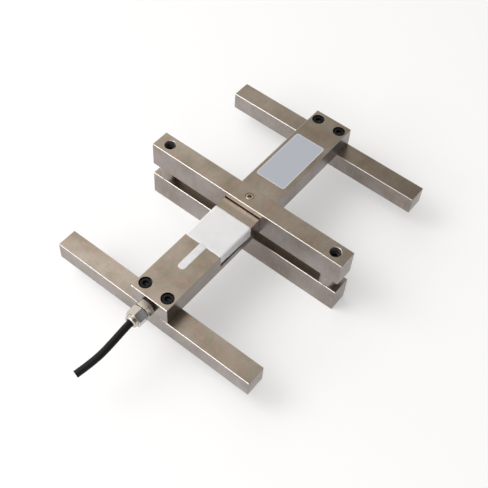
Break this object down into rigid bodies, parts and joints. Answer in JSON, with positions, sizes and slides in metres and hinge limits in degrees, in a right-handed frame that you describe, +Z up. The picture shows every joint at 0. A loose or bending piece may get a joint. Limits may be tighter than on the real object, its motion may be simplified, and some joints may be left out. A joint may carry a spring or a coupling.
{
  "type": "strain gauge load cell",
  "caption": "Wire-rope load cell: flat steel sensing beam on end cross bars, notched rope clamp over its middle, white sealed gauge patch, and a cable gland with a cut cable end.",
  "frame": {"origin": "floor level under the load screw: middle of the lower clamp bar's underside", "axes": "+Y along the sensing beam from the cable end to the label end, +X along the cross bars, +Z up"},
  "size_m": [0.2142, 0.3531, 0.0674],
  "materials": {
    "nickel_steel": "ground and satin nickel plated",
    "bright_steel": "bright zinc plated",
    "black_steel": "black oxide",
    "gauge_foil": "amber polyimide carrier",
    "circuit_board": "lacquered",
    "red_core": "smooth insulation",
    "black_core": "smooth insulation",
    "green_core": "smooth insulation",
    "white_core": "smooth insulation",
    "white_silicone": "smooth, slightly glossy",
    "label": "satin film",
    "black_rubber": "matt",
    "nickel_brass": "bright nickel plated",
    "white_nylon": "moulded",
    "cable_jacket": "matt with a faint sheen"
  },
  "bodies": {
    "root": {"sensing_beam": "nickel_steel", "front_end_bar": "nickel_steel", "rear_end_bar": "nickel_steel", "upper_clamp_bar": "nickel_steel", "lower_clamp_bar": "nickel_steel", "left_spacer": "nickel_steel", "right_spacer": "nickel_steel", "load_screw": "bright_steel", "left_clamp_screw": "black_steel", "right_clamp_screw": "black_steel", "front_left_screw": "black_steel", "front_right_screw": "black_steel", "rear_left_screw": "black_steel", "rear_right_screw": "black_steel", "left_axial_gauge": "gauge_foil", "right_axial_gauge": "gauge_foil", "left_cross_gauge": "gauge_foil", "right_cross_gauge": "gauge_foil", "bridge_board": "circuit_board", "red_wire": "red_core", "black_wire": "black_core", "green_wire": "green_core", "white_wire": "white_core", "gauge_sealant": "white_silicone", "name_label": "label", "gland_washer": "black_rubber", "gland_body": "nickel_brass", "gland_seal": "black_rubber", "gland_claw": "white_nylon", "gland_nut": "nickel_brass", "signal_cable": "cable_jacket"}
  },
  "joints": []
}
